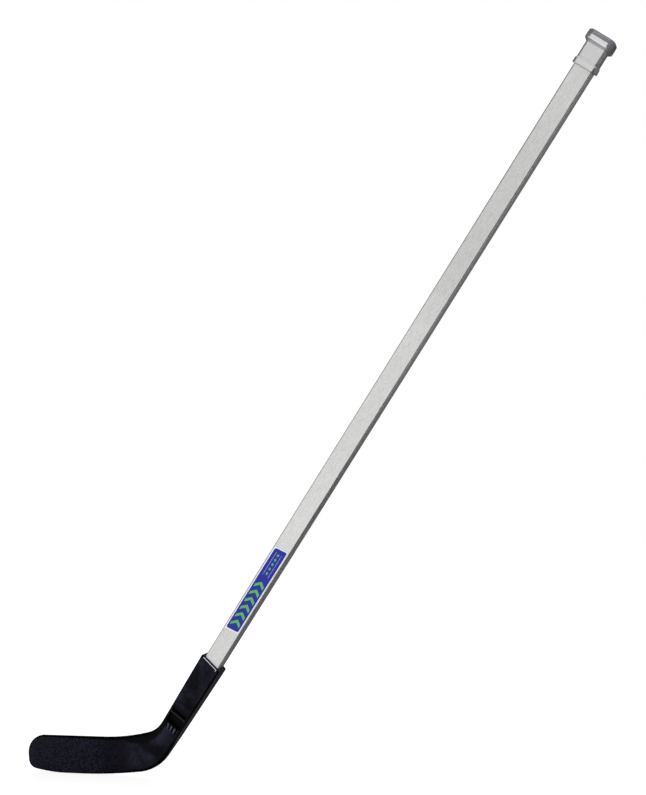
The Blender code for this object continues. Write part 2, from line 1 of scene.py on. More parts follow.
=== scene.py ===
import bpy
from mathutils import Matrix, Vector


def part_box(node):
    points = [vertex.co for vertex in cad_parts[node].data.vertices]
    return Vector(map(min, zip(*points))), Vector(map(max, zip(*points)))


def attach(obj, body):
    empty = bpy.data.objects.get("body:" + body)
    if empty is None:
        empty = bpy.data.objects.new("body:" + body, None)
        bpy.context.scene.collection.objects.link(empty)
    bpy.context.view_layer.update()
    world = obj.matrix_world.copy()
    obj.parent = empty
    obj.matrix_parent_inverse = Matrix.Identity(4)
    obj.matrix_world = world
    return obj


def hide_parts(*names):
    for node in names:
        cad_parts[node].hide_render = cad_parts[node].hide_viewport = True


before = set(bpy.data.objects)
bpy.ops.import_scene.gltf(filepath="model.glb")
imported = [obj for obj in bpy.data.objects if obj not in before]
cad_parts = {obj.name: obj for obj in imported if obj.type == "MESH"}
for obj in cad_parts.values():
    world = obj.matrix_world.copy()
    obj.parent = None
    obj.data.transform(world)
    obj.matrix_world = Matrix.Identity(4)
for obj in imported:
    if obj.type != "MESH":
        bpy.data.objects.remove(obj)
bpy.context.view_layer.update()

import math

import bmesh
import bpy
from mathutils import Matrix, Vector

# The looks of a floor hockey stick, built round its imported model.
# The stick stands on its sole: x runs from toe to heel, y from front to back, z up.


# Frame of the shaft: x across it, y through it, z along it from the floor

def middleOf(node):
    low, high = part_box(node)
    return (low + high) / 2


def addToScene(name, data):
    piece = bpy.data.objects.new(name, data)
    bpy.context.scene.collection.objects.link(piece)
    return piece


def makeShaftFrame():
    # the two screws stand on the shaft's centre line, which gives its lean and its foot
    lower = middleOf("lower_screw")
    along = middleOf("upper_screw") - lower
    along.y = 0
    along.normalize()
    foot = lower - along * (lower.z / along.z)
    out = Vector((0, 1, 0))
    axes = Matrix((out.cross(along), out, along)).transposed().to_4x4()
    empty = addToScene("shaftFrame", None)
    empty.matrix_world = Matrix.Translation((foot.x, 0, 0)) @ axes
    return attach(empty, "root")


shaftFrame = makeShaftFrame()
bpy.context.view_layer.update()
frameMatrix = shaftFrame.matrix_world.copy()


def heightOnShaft(point):
    return (frameMatrix.inverted() @ point).z


def cornersOnShaft(node):
    inverse = frameMatrix.inverted()
    return [inverse @ corner.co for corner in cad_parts[node].data.vertices]


print("frame read, shaft leans", round(math.degrees(math.acos(frameMatrix[2][2])), 2))


# Node helpers

def newMaterial(name):
    material = bpy.data.materials.new(name)
    material.use_nodes = True
    tree = material.node_tree
    return material, tree, tree.nodes["Principled BSDF"]


def addNode(tree, kind, inputs=None, **settings):
    node = tree.nodes.new("ShaderNode" + kind)
    for key, value in settings.items():
        setattr(node, key, value)
    for key, value in (inputs or {}).items():
        if isinstance(value, bpy.types.NodeSocket):
            tree.links.new(value, node.inputs[key])
        else:
            node.inputs[key].default_value = value
    return node


def link(tree, source, shader, name):
    tree.links.new(source, shader.inputs[name])


def maths(tree, operation, *values, clamp=False):
    inputs = dict(enumerate(values))
    return addNode(tree, "Math", inputs, operation=operation, use_clamp=clamp).outputs[0]


def multiply(tree, *values):
    total = values[0]
    for value in values[1:]:
        total = maths(tree, "MULTIPLY", total, value)
    return total


def outside(tree, mask):
    return maths(tree, "SUBTRACT", 1.0, mask)


def distanceFrom(tree, value, middle):
    return maths(tree, "ABSOLUTE", maths(tree, "SUBTRACT", value, middle))


def vectorMaths(tree, operation, *values, output="Vector"):
    node = addNode(tree, "VectorMath", dict(enumerate(values)), operation=operation)
    return node.outputs[output]


def axisOf(tree, vector, axis):
    return addNode(tree, "SeparateXYZ", {0: vector}).outputs[axis]


def remap(tree, value, low, high, newLow, newHigh, smooth=False):
    limits = {"From Min": low, "From Max": high, "To Min": newLow, "To Max": newHigh}
    kind = "SMOOTHSTEP" if smooth else "LINEAR"
    node = addNode(tree, "MapRange", {"Value": value, **limits}, interpolation_type=kind)
    return node.outputs["Result"]


def varied(tree, value, low, high):
    # spreads the middle of a noise over a range
    return remap(tree, value, 0.3, 0.7, low, high)


def upTo(tree, value, limit, soft):
    return remap(tree, value, limit, limit + soft, 1.0, 0.0)


def between(tree, value, low, high, soft):
    above = remap(tree, value, low - soft, low + soft, 0.0, 1.0)
    below = remap(tree, value, high - soft, high + soft, 1.0, 0.0)
    return multiply(tree, above, below)


def toneAt(tree, mask, tone, smooth=False):
    # one where the mask is off, the tone where it is on
    return remap(tree, mask, 0.0, 1.0, 1.0, tone, smooth)


def mixColour(tree, share, one, other, blend="MIX"):
    # each colour is a socket or three numbers
    one, other = ((*value, 1) if isinstance(value, tuple) else value for value in (one, other))
    inputs = {0: share, 6: one, 7: other}
    return addNode(tree, "Mix", inputs, data_type="RGBA", blend_type=blend).outputs[2]


def tinted(tree, colour, level):
    grey = addNode(tree, "CombineColor", {0: level, 1: level, 2: level}).outputs[0]
    return mixColour(tree, 1.0, colour, grey, "MULTIPLY")


def noise(tree, place, scale, detail=2.0, roughness=0.5, seed=0.0):
    inputs = {"Vector": place, "Scale": scale, "Detail": detail, "Roughness": roughness}
    node = addNode(tree, "TexNoise", {**inputs, "W": seed}, noise_dimensions="4D")
    return node.outputs["Fac"]


def stretched(tree, place, scales):
    return vectorMaths(tree, "MULTIPLY", place, scales)


def shaftPlace(tree):
    return addNode(tree, "TexCoord", object=shaftFrame).outputs["Object"]


def worldPlace(tree):
    return addNode(tree, "TexCoord").outputs["Object"]


def surfaceNormal(tree):
    return addNode(tree, "NewGeometry").outputs["Normal"]


def bump(tree, height, distance, under=None):
    inputs = {"Height": height, "Distance": distance}
    if under:
        inputs["Normal"] = under
    return addNode(tree, "Bump", inputs).outputs["Normal"]


# Smooth shading that keeps true corners

smoothLook = {
    "sharpAngle": 32,  # degrees between faces that still look smooth
    "seamWidth": 1e-5,  # metres between points that are joined
    "easedAngle": 17,  # degrees from which an edge is eased
    "easedSteps": 3,
}


def makeSmoothing(name):
    look = smoothLook
    group = bpy.data.node_groups.new(name, "GeometryNodeTree")
    for way in ("INPUT", "OUTPUT"):
        group.interface.new_socket("Mesh", in_out=way, socket_type="NodeSocketGeometry")
    nodes, links = group.nodes, group.links
    given = nodes.new("NodeGroupInput")
    bare = nodes.new("GeometryNodeRemoveAttribute")
    bare.inputs["Name"].default_value = "custom_normal"
    joined = nodes.new("GeometryNodeMergeByDistance")
    joined.inputs["Distance"].default_value = look["seamWidth"]
    angle = nodes.new("GeometryNodeInputMeshEdgeAngle")
    gentle = nodes.new("FunctionNodeCompare")
    gentle.operation = "LESS_THAN"
    gentle.inputs["B"].default_value = math.radians(look["sharpAngle"])
    faces = nodes.new("GeometryNodeSetShadeSmooth")
    edges = nodes.new("GeometryNodeSetShadeSmooth")
    edges.domain = "EDGE"
    result = nodes.new("NodeGroupOutput")
    links.new(given.outputs["Mesh"], bare.inputs["Geometry"])
    for one, other in ((bare, joined), (joined, faces), (faces, edges)):
        links.new(one.outputs["Geometry"], other.inputs["Geometry"])
    links.new(angle.outputs["Unsigned Angle"], gentle.inputs["A"])
    links.new(gentle.outputs["Result"], edges.inputs["Shade Smooth"])
    links.new(edges.outputs["Geometry"], result.inputs["Mesh"])
    return group


smoothing = makeSmoothing("smoothByAngle")


def smoothNode(piece, edgeWidth=0.0):
    look = smoothLook
    piece.modifiers.new("smoothing", "NODES").node_group = smoothing
    if edgeWidth:
        # the seams are joined above, so the crisp edges can be eased here
        eased = piece.modifiers.new("easedEdges", "BEVEL")
        eased.width = edgeWidth
        eased.segments = look["easedSteps"]
        eased.limit_method = "ANGLE"
        eased.angle_limit = math.radians(look["easedAngle"])
        piece.modifiers.new("smoothingAgain", "NODES").node_group = smoothing
    even = piece.modifiers.new("evenNormals", "WEIGHTED_NORMAL")
    even.keep_sharp = True


def dressNode(name, material, edgeWidth=0.0):
    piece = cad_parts[name]
    piece.material_slots[0].material = material
    smoothNode(piece, edgeWidth)


# Shaft: brushed, clear anodised aluminium

shaftLook = {
    "colour": (0.680, 0.682, 0.668),
    "roughness": (0.31, 0.42),
    "grainWidth": 0.0009,  # metres across a streak
    "grainLength": 0.016,
    "grainDepth": 0.000012,
    "coarseDepth": 0.000018,
    "grainContrast": 0.30,
    "fineGrain": 3.1,  # times finer than the coarse streaks
    "speckleSize": 0.0018,
    "speckleContrast": 0.24,
    "cloudScale": (20, 20, 4),  # clouds to a metre across, through and along
    "cloudTone": (0.97, 1.02),
    # stretches along the shaft: from, to, tone there and half length of the change; the last is
    # painted light on the faces turned to the heel
    # darker along two stretches of the shaft's length
    "darkerLow": (0.10, 0.44, 0.90, 0.07),
    "darkerHigh": (0.92, 1.24, 0.91, 0.07),
    "paintedUnderLight": (0.02, 0.52, 1.30, 0.10),
    "undersideTurn": (0.40, 0.70),  # how far a face turns to the heel's side
}


def makeShaftMaterial():
    look = shaftLook
    material, tree, shader = newMaterial("brushedAluminium")
    place = shaftPlace(tree)
    width, length = look["grainWidth"], look["grainLength"]
    streaked = stretched(tree, place, (1 / width, 1 / width, 1 / length))
    coarse = noise(tree, streaked, 1.0, 3.0, 0.6)
    fine = noise(tree, streaked, look["fineGrain"], 2.0, 0.6, seed=4.0)
    speckle = noise(tree, place, 1 / look["speckleSize"], 2.0, 0.7, seed=9.0)
    clouds = noise(tree, stretched(tree, place, look["cloudScale"]), 1.0, 2.0, 0.5, seed=2.0)
    height = axisOf(tree, place, "Z")

    def stretch(key, share=1.0):
        low, high, tone, soft = look[key]
        mask = multiply(tree, share, between(tree, height, low, high, soft))
        return toneAt(tree, mask, tone, smooth=True)

    # painted light: faces turned to the heel's side are paler, as if lit from the floor
    turn = axisOf(tree, surfaceNormal(tree), "X")
    grain, dots = look["grainContrast"] / 2, look["speckleContrast"] / 2
    level = multiply(
        tree,
        remap(tree, coarse, 0.25, 0.75, 1 - grain, 1 + grain),
        varied(tree, speckle, 1 - dots, 1 + dots),
        varied(tree, clouds, *look["cloudTone"]),
        stretch("darkerLow"),
        stretch("darkerHigh"),
        stretch("paintedUnderLight", remap(tree, turn, *look["undersideTurn"], 0.0, 1.0)),
    )
    link(tree, tinted(tree, look["colour"], level), shader, "Base Color")
    link(tree, varied(tree, fine, *look["roughness"]), shader, "Roughness")
    lines = bump(tree, fine, look["grainDepth"])
    link(tree, bump(tree, coarse, look["coarseDepth"], under=lines), shader, "Normal")
    shader.inputs["Metallic"].default_value = 1.0
    return material


dressNode("shaft", makeShaftMaterial())
print("shaft done")


# Blade: black moulded plastic, pebbled towards the toe and glossier at the neck

bladeLook = {
    "colour": (0.0006, 0.0006, 0.0011),
    "roughness": (0.27, 0.52),  # at the neck and at the toe
    "smear": (-0.04, 0.08),  # added to the roughness in patches
    "specular": 0.035,
    "waveScale": 420.0,
    "waveDepth": 0.00002,
    "flatFace": (0.95, 0.99),  # how squarely a face looks forward or back
    # painted reflection on the long side under the shaft and the heel
    "sideSheenColour": (0.0310, 0.0310, 0.0360),  # the long side under the shaft and the heel
    "sideTurn": (0.30, 0.55),  # how far a face of it turns to the heel
    "sideEdge": (0.25, 0.45),  # how far it may look forward or back
    # painted highlight on the pebbles' crests, on the flat faces only
    "pebbleHighlightColour": (0.0195, 0.0205, 0.0345),  # crests of the pebbles
    "pebbleSize": 0.0014,
    "pebbleDepth": 0.00018,
    "pebbleEnds": (0.123, 0.083),  # x where the pebbles begin and are at full depth
    "pebbleDimming": (0.030, 0.085, 0.45),  # x from, to, and the crests' share there
    "rubbleScale": 0.62,  # of the pebbles' own scale
    "sheenColour": (0.0180, 0.0185, 0.0310),  # painted sheen on the flat faces at the socket and the heel
    "sheenAcross": (-0.012, 0.008, 1.35, 0.75),  # from, to across the shaft, share at each
    "sheenEnds": (0.100, 0.142, 0.3),  # x from, to, and the share on the toe's side
    "throatCentre": (0.133, 0.0, 0.127),
    "throatEdge": (0.069, 0.075),  # distances from it where the sheen fades in
    "patchScale": 30.0,
    "streakScale": (90, 90, 22),
    "scratchColour": (0.0300, 0.0305, 0.0380),
    "scratchSize": (0.00016, 0.0060),  # across and along a fine scratch
    "scratchThrough": 60,  # scale through the blade
    "scratchLeans": (25, -50),  # degrees
    "scratchEdge": (0.68, 0.76),
    "scratchShare": 0.8,
    "clusterScale": 55.0,  # of the patches that hold scratches
    "clusterEdge": (0.52, 0.62),
    # painted highlight along the socket's mouth
    "rimHighlightColour": (0.66, 0.66, 0.72),
    "rimWidth": 0.0008,
    "rimCore": 0.35,  # share of the width at full highlight
    "rimDrop": 0.0015,  # from the mouth's brim to the highlight line
    "rimEnds": (-0.0150, 0.0142),  # across the shaft; the line turns down at the second
    "rimTurn": 0.0030,
    "rimTurnShare": 0.8,
    "rimFront": (-0.0112, -0.0120),  # depths between which the socket's front begins
    "rimBreakup": (0.6, 1.0),
    "breakupScale": 300.0,
    "mouthSlant": 6.7,  # degrees that the socket's mouth leans
    "pocketShadeColour": (0.0002, 0.0002, 0.0003),  # painted shade on the floor of the neck's pocket, the hollow over it and the flutes
    "recessHalfWidth": 0.0151,
    "recessFace": (0.0101, 0.0095),  # half depths under which a face belongs to the recess
    # painted highlight on the bar over the pocket
    "barHighlightColour": (0.0185, 0.0190, 0.0240),
    # painted highlight on the ribs between the flutes
    "ribHighlightColour": (0.0560, 0.0570, 0.0800),
    "ribMiddle": 0.0008,  # across the shaft
    "ribHalfWidth": 0.0098,
    "ribDepth": (0.0105, 0.0111),  # the front's own half depth at the ribs' two ends
    "ribFade": (0.001, 0.007),  # heights over the ribs' lower ends
    "fluteEdge": (0.0002, 0.0008),  # depths under the front where a flute begins
    "hollowShade": 0.8,
    # heights along the shaft: pocket, bar over it, hollow over that, ribs below
    "pocket": (0.1100, 0.1306),
    "bar": (0.1302, 0.1328),
    "hollow": (0.1334, 0.1480),
    "ribs": (0.0990, 0.1104),
}


def makeSheenMask(tree, place, flat, patches, pebbled):
    # painted sheen, a painted reflection on the flat faces: more at the socket's leading side, none
    # in the hollow of the throat or on pebbles
    look = bladeLook
    onShaft = shaftPlace(tree)
    streaks = noise(tree, stretched(tree, onShaft, look["streakScale"]), 1.0, 3.0, 0.6, seed=3.0)
    inPlane = stretched(tree, place, (1, 0, 1))
    reach = vectorMaths(tree, "DISTANCE", inPlane, look["throatCentre"], output="Value")
    near, far, share = look["sheenEnds"]
    paintedSheen = multiply(
        tree,
        remap(tree, patches, 0.40, 0.62, 0.15, 1.0, smooth=True),
        flat,
        varied(tree, streaks, 0.4, 0.9),
        remap(tree, axisOf(tree, onShaft, "X"), *look["sheenAcross"], smooth=True),
        remap(tree, axisOf(tree, place, "X"), near, far, share, 1.0, smooth=True),
        remap(tree, reach, *look["throatEdge"], 0.0, 1.0, smooth=True),
    )
    return maths(tree, "MULTIPLY", paintedSheen, outside(tree, pebbled), clamp=True)


def makeScratchMask(tree, place, flat):
    # fine scratches in two directions, few and short
    look = bladeLook
    width, length = look["scratchSize"]
    scales = (1 / length, look["scratchThrough"], 1 / width)
    marks = []
    for lean in look["scratchLeans"]:
        turn = (0, math.radians(lean), 0)
        spun = addNode(tree, "Mapping", {"Vector": place, "Rotation": turn}).outputs[0]
        fine = noise(tree, stretched(tree, spun, scales), 1.0, 1.0, 0.5, seed=lean)
        cluster = noise(tree, place, look["clusterScale"], 2.0, 0.5, seed=lean + 2.0)
        where = remap(tree, cluster, *look["clusterEdge"], 0.0, 1.0)
        marks.append(multiply(tree, remap(tree, fine, *look["scratchEdge"], 0.0, 1.0), where))
    return multiply(tree, maths(tree, "MAXIMUM", *marks), flat, look["scratchShare"])


def makeNeckMasks(tree, across, deep, along):
    # painted shade darkens the pocket, the hollow over it and the flute grooves
    look = bladeLook
    halfDepth = maths(tree, "ABSOLUTE", deep)
    inside = upTo(tree, maths(tree, "ABSOLUTE", across), look["recessHalfWidth"], soft=0.0004)
    sunk = remap(tree, halfDepth, *look["recessFace"], 0.0, 1.0)
    pocket = multiply(tree, between(tree, along, *look["pocket"], soft=0.0002), sunk)
    shade = remap(tree, along, *look["hollow"], look["hollowShade"], 0.0, smooth=True)
    hollow = multiply(tree, between(tree, along, *look["hollow"], soft=0.0002), shade)
    recess = multiply(tree, maths(tree, "MAXIMUM", pocket, hollow), inside)
    # painted highlight on the bar over the pocket
    bar = multiply(tree, between(tree, along, *look["bar"], soft=0.0003), inside)
    # the front's own half depth falls from the pocket to the ribs' lower ends
    low, high = look["ribs"]
    front = remap(tree, along, low, high, *look["ribDepth"])
    cut = remap(tree, maths(tree, "SUBTRACT", front, halfDepth), *look["fluteEdge"], 0.0, 1.0)
    middle = distanceFrom(tree, across, look["ribMiddle"])
    among = upTo(tree, middle, look["ribHalfWidth"], soft=0.0004)
    zone = multiply(tree, between(tree, along, low, high, soft=0.0006), among)
    start, full = look["ribFade"]
    fade = remap(tree, along, low + start, low + full, 0.0, 1.0)
    # painted highlight on the ribs between the flutes
    ribs = multiply(tree, zone, fade, outside(tree, cut))
    flutes = multiply(tree, zone, cut)
    return maths(tree, "MAXIMUM", recess, flutes), bar, ribs


def makeRimMask(tree, across, deep, along):
    # a thin painted highlight where the mouth's rounding meets the socket's front
    look = bladeLook
    lean = math.tan(math.radians(look["mouthSlant"]))
    brim = max(corner.z + corner.x * lean for corner in cornersOnShaft("blade"))
    level = maths(tree, "ADD", along, multiply(tree, across, lean))
    line = brim - look["rimDrop"]
    start, end = look["rimEnds"]
    core, edge, soft = look["rimWidth"] * look["rimCore"], look["rimWidth"], 0.0004
    band = multiply(
        tree,
        remap(tree, distanceFrom(tree, level, line), core, edge, 1.0, 0.0, smooth=True),
        between(tree, across, start, end + soft, soft),
    )
    beside = distanceFrom(tree, across, end)
    turn = multiply(
        tree,
        remap(tree, beside, core, edge, look["rimTurnShare"], 0.0, smooth=True),
        between(tree, level, line - look["rimTurn"], line, soft=0.0003),
    )
    front = remap(tree, deep, *look["rimFront"], 0.0, 1.0, smooth=True)
    breakupNoise = noise(tree, shaftPlace(tree), look["breakupScale"], 2.0, 0.6, seed=8.0)
    breakup = remap(tree, breakupNoise, 0.3, 0.6, *look["rimBreakup"])
    return multiply(tree, maths(tree, "MAXIMUM", band, turn), front, breakup)


def makeBladeMaterial():
    look = bladeLook
    material, tree, shader = newMaterial("blackMouldedPlastic")
    place = worldPlace(tree)
    along = axisOf(tree, place, "X")
    start, full = look["pebbleEnds"]
    pebbled = remap(tree, along, full, start, 1.0, 0.0, smooth=True)
    scale = 1 / look["pebbleSize"]
    cells = addNode(tree, "TexVoronoi", {"Vector": place, "Scale": scale}, feature="SMOOTH_F1")
    crest = outside(tree, cells.outputs["Distance"])
    rubble = noise(tree, place, scale * look["rubbleScale"], 4.0, 0.65, seed=1.0)
    patches = noise(tree, place, look["patchScale"], 4.0, 0.6, seed=5.0)

    # the tilted borders stay black, the flat faces show the painted sheen, the painted highlights
    # on the pebbles and the scratches
    normal = surfaceNormal(tree)
    facing = maths(tree, "ABSOLUTE", axisOf(tree, normal, "Y"))
    flat = remap(tree, facing, *look["flatFace"], 0.0, 1.0, smooth=True)
    near, far, dim = look["pebbleDimming"]
    # painted highlight on the pebbles' crests
    pebbleHighlight = multiply(
        tree,
        remap(tree, rubble, 0.42, 0.66, 0.0, 1.0),
        remap(tree, along, near, far, 1.0, dim, smooth=True),
        pebbled,
        flat,
    )
    # painted reflection: the long side that faces away from the toe is a little paler than the
    # borders
    side = multiply(
        tree,
        remap(tree, axisOf(tree, normal, "X"), *look["sideTurn"], 0.0, 1.0),
        remap(tree, patches, 0.3, 0.6, 0.7, 1.1),
        remap(tree, facing, *look["sideEdge"], 1.0, 0.0),
    )
    socket = addNode(tree, "SeparateXYZ", {0: shaftPlace(tree)}).outputs
    recess, bar, ribs = makeNeckMasks(tree, *socket)
    layers = (
        (makeSheenMask(tree, place, flat, patches, pebbled), "sheenColour"),
        (pebbleHighlight, "pebbleHighlightColour"),
        (makeScratchMask(tree, place, flat), "scratchColour"),
        (side, "sideSheenColour"),
        (recess, "pocketShadeColour"),
        (bar, "barHighlightColour"),
        (ribs, "ribHighlightColour"),
        (makeRimMask(tree, *socket), "rimHighlightColour"),
    )
    plastic = look["colour"]
    for mask, key in layers:
        plastic = mixColour(tree, mask, plastic, look[key])
    link(tree, plastic, shader, "Base Color")

    rough = remap(tree, pebbled, 0.0, 1.0, *look["roughness"])
    smear = remap(tree, patches, 0.3, 0.75, *look["smear"])
    link(tree, maths(tree, "ADD", rough, smear), shader, "Roughness")
    waves = bump(tree, noise(tree, place, look["waveScale"], 2.0, 0.5, seed=7.0), look["waveDepth"])
    pebbles = multiply(tree, crest, rubble, pebbled)
    link(tree, bump(tree, pebbles, look["pebbleDepth"], under=waves), shader, "Normal")
    shader.inputs["Specular IOR Level"].default_value = look["specular"]
    return material


dressNode("blade", makeBladeMaterial())
print("blade done")


# Butt cap: silver-grey moulded plastic

capLook = {
    "colour": (0.66, 0.66, 0.66),
    "metalShare": 0.85,
    "roughness": (0.36, 0.46),
    "sparkSize": 0.0005,
    "sparkDepth": 0.00001,
    "sparkTone": (0.92, 1.06),
    "cloudScale": 160.0,
    "cloudTone": (0.95, 1.04),
    "edgeWidth": 0.0004,
    "tilt": 11.0,  # degrees that the crown leans back
    "turned": (0.97, 0.90),  # how squarely a face must look forward to stay clear of the painted shade
    "turnedShade": 0.66,
    "crownShade": 0.29,
    "crownShadeColour": (0.645, 0.635, 0.715),  # tint of the crown's painted shade
    "crownMetal": 0.25,
    "topShare": 0.25,  # how much of the crown's painted shade the end face gets
    "topFace": (0.80, 0.95),  # how squarely that face looks along the shaft
    # heights over the cap's lower edge
    # painted shade in a thin line just over the lower edge
    "shadeLine": (0.0004, 0.0021),
    "shadeLineTone": 0.84,
    "shadeLineShare": (0.7, 1.0),
    "bead": (0.0030, 0.0082),
    # painted highlight on the bead
    "beadHighlight": 1.09,
    # a band without metal on the bead's upper slope; it takes a little painted shade
    "matteRing": (0.0083, 0.0107),
    "matteRingShade": 0.96,
    # painted shade in the crease over the bead
    "creaseLine": (0.0115, 0.0132),
    "creaseShade": 0.90,
    "beadCorner": (0.0150, 0.0157),  # across, where the bead's front turns dark with painted shade
    "beadCornerFace": (0.15, 0.40),  # how far a face of it looks forward or back
    "beadCornerHeight": (0.0, 0.0115),
    "beadCornerShade": 0.66,
    "facetEnds": (-0.0131, 0.0146),  # across
    # depths under the crown's top edge
    "crown": 0.0143,
    "facet": (0.0141, 0.0078),
    # painted highlight on the crown's front facet
    "facetHighlight": 1.14,
    "lip": (0.0148, 0.0132),
    # painted highlight along the crown's lower lip
    "lipHighlight": 1.36,
    "lipFade": (-0.012, 0.010, 0.3, 1.0),  # across: from, to, share at each
}


def makeCapMasks(tree, place, cloud):
    # heights are measured from the cap's own lower edge and from its tilted crown
    look = capLook
    fall = math.tan(math.radians(look["tilt"]))
    corners = cornersOnShaft("butt_cap")
    base = min(corner.z for corner in corners)
    top = max(corner.z + corner.y * fall for corner in corners)
    across, deep, height = addNode(tree, "SeparateXYZ", {0: place}).outputs
    tilted = maths(tree, "ADD", height, multiply(tree, deep, fall))
    normal = surfaceNormal(tree)
    facing = maths(tree, "ABSOLUTE", axisOf(tree, normal, "Y"))
    turned = remap(tree, facing, *look["turned"], 0.0, 1.0, smooth=True)
    square = outside(tree, turned)

    def overEdge(key, soft=0.0004):
        low, high = look[key]
        return between(tree, height, base + low, base + high, soft)

    def underTop(key):
        low, high = look[key]
        return between(tree, tilted, top - low, top - high, soft=0.0003)

    matte = overEdge("matteRing", soft=0.0003)
    lip = underTop("lip")
    foot = top - look["crown"]
    crown = remap(tree, tilted, foot - 0.0003, foot, 0.0, 1.0)
    # painted shade: the crown is darkened except for its facet on the front and the back, and its
    # end face
    facetSpan = between(tree, across, *look["facetEnds"], soft=0.0003)
    beyond = multiply(tree, outside(tree, facetSpan), outside(tree, lip))
    axis = tuple(frameMatrix.to_3x3().col[2])
    upward = vectorMaths(tree, "DOT_PRODUCT", normal, axis, output="Value")
    crownShadeMask = multiply(
        tree,
        maths(tree, "MAXIMUM", turned, beyond),
        crown,
        remap(tree, upward, *look["topFace"], 1.0, look["topShare"]),
    )
    # painted shade on faces turned from the front, below the crown and off the matte ring
    paintedTurnShade = multiply(tree, turned, outside(tree, maths(tree, "MAXIMUM", crown, matte)))
    patchy = remap(tree, cloud, 0.3, 0.6, *look["shadeLineShare"])
    # painted shade line over the cap's lower edge, patchy
    shadeLineMask = multiply(tree, overEdge("shadeLine"), patchy)
    beadCorner = multiply(
        tree,
        remap(tree, maths(tree, "ABSOLUTE", across), *look["beadCorner"], 0.0, 1.0),
        remap(tree, facing, *look["beadCornerFace"], 0.0, 1.0),
        overEdge("beadCornerHeight", soft=0.0003),
    )
    lipHighlight = multiply(tree, lip, square, remap(tree, across, *look["lipFade"]))
    return crownShadeMask, matte, (
        (paintedTurnShade, "turnedShade"),
        (crownShadeMask, "crownShade"),
        (matte, "matteRingShade"),
        (shadeLineMask, "shadeLineTone"),
        (overEdge("bead"), "beadHighlight"),
        (beadCorner, "beadCornerShade"),
        (overEdge("creaseLine"), "creaseShade"),
        (multiply(tree, underTop("facet"), square), "facetHighlight"),
        (lipHighlight, "lipHighlight"),
    )


def makeCapMaterial():
    look = capLook
    material, tree, shader = newMaterial("silverCapPlastic")
    place = shaftPlace(tree)
    spark = noise(tree, place, 1 / look["sparkSize"], 3.0, 0.6)
    cloud = noise(tree, place, look["cloudScale"], 2.0, 0.5, seed=3.0)
    crownShadeMask, matte, masks = makeCapMasks(tree, place, cloud)
    level = multiply(
        tree,
        varied(tree, spark, *look["sparkTone"]),
        varied(tree, cloud, *look["cloudTone"]),
        *(toneAt(tree, mask, look[key]) for mask, key in masks),
    )
    tint = mixColour(tree, crownShadeMask, look["colour"], look["crownShadeColour"])
    link(tree, tinted(tree, tint, level), shader, "Base Color")

    metal = remap(tree, matte, 0.0, 1.0, look["metalShare"], 0.0)
    metal = multiply(tree, metal, toneAt(tree, crownShadeMask, look["crownMetal"]))
    link(tree, metal, shader, "Metallic")
    link(tree, varied(tree, cloud, *look["roughness"]), shader, "Roughness")
    link(tree, bump(tree, spark, look["sparkDepth"]), shader, "Normal")
    return material


dressNode("butt_cap", makeCapMaterial(), capLook["edgeWidth"])
print("butt cap done")


# Label: a pale film with a printed blue field, green chevrons and a row of diamonds

labelLook = {
    "film": (0.80, 0.81, 0.90),
    "blue": (0.024, 0.034, 0.280),
    "green": (0.115, 0.400, 0.135),
    "darkGreen": (0.012, 0.070, 0.085),
    "pale": (0.42, 0.47, 0.80),
    "roughness": (0.28, 0.38),
    "specular": 0.14,
    "mottleScale": 900.0,
    "mottleTone": (0.93, 1.06),
    "grainScale": (900, 900, 70),
    "grainTone": (0.95, 1.05),
    "grainDepth": 0.000004,
    "border": 0.0014,
    "cornerRadius": 0.0036,
    "cornerSteps": 5,
    "inkThickness": 0.00002,
    "layerPitch": 0.000024,  # from one layer of ink to the next
    "slant": 12.5,  # degrees that the ends lean
    "chevronCount": 6,
    "chevronPitch": 0.0152,
    "chevronArm": 0.0060,  # thickness along the shaft
    "chevronReach": 0.0072,  # how far the point stands ahead of the ends
    "chevronMargin": 0.0028,  # from the field's long edges
    "shadowOffset": (0.0007, -0.0009),
    "diamondCount": 5,
    "diamondPitch": 0.0088,
    "diamondSize": (0.0042, 0.0064),
    "lineGap": 0.0052,  # of the two thin lines from the middle
    "lineWidth": 0.0005,
    "endMargin": 0.0070,
}


def makeInkMaterial(name, colour):
    look = labelLook
    material, tree, shader = newMaterial(name)
    place = shaftPlace(tree)
    mottle = noise(tree, place, look["mottleScale"], 3.0, 0.6)
    grain = noise(tree, stretched(tree, place, look["grainScale"]), 1.0, 2.0, 0.5, seed=6.0)
    spots = varied(tree, mottle, *look["mottleTone"])
    level = multiply(tree, spots, varied(tree, grain, *look["grainTone"]))
    link(tree, tinted(tree, colour, level), shader, "Base Color")
    link(tree, varied(tree, mottle, *look["roughness"]), shader, "Roughness")
    link(tree, bump(tree, grain, look["grainDepth"]), shader, "Normal")
    shader.inputs["Specular IOR Level"].default_value = look["specular"]
    return material


def printShapes(name, outlines, layer, material):
    # flat closed outlines of (across, along) points, each layer of ink above the last
    look = labelLook
    curve = bpy.data.curves.new(name, "CURVE")
    curve.dimensions = "2D"
    curve.fill_mode = "BOTH"
    curve.extrude = look["inkThickness"] / 2
    for outline in outlines:
        spline = curve.splines.new("POLY")
        spline.points.add(len(outline) - 1)
        for point, (across, along) in zip(spline.points, outline):
            point.co = (across, along, 0, 1)
        spline.use_cyclic_u = True
    piece = addToScene(name, curve)
    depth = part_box("label")[0].y - look["layerPitch"] * (layer + 0.5)
    middle = heightOnShaft(middleOf("label"))
    upright = Matrix.Rotation(math.radians(90), 4, "X")
    piece.matrix_world = frameMatrix @ Matrix.Translation((0, depth, middle)) @ upright
    piece.data.materials.append(material)
    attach(piece, "root")


def slanted(across, along):
    return (across, along + across * math.tan(math.radians(labelLook["slant"])))


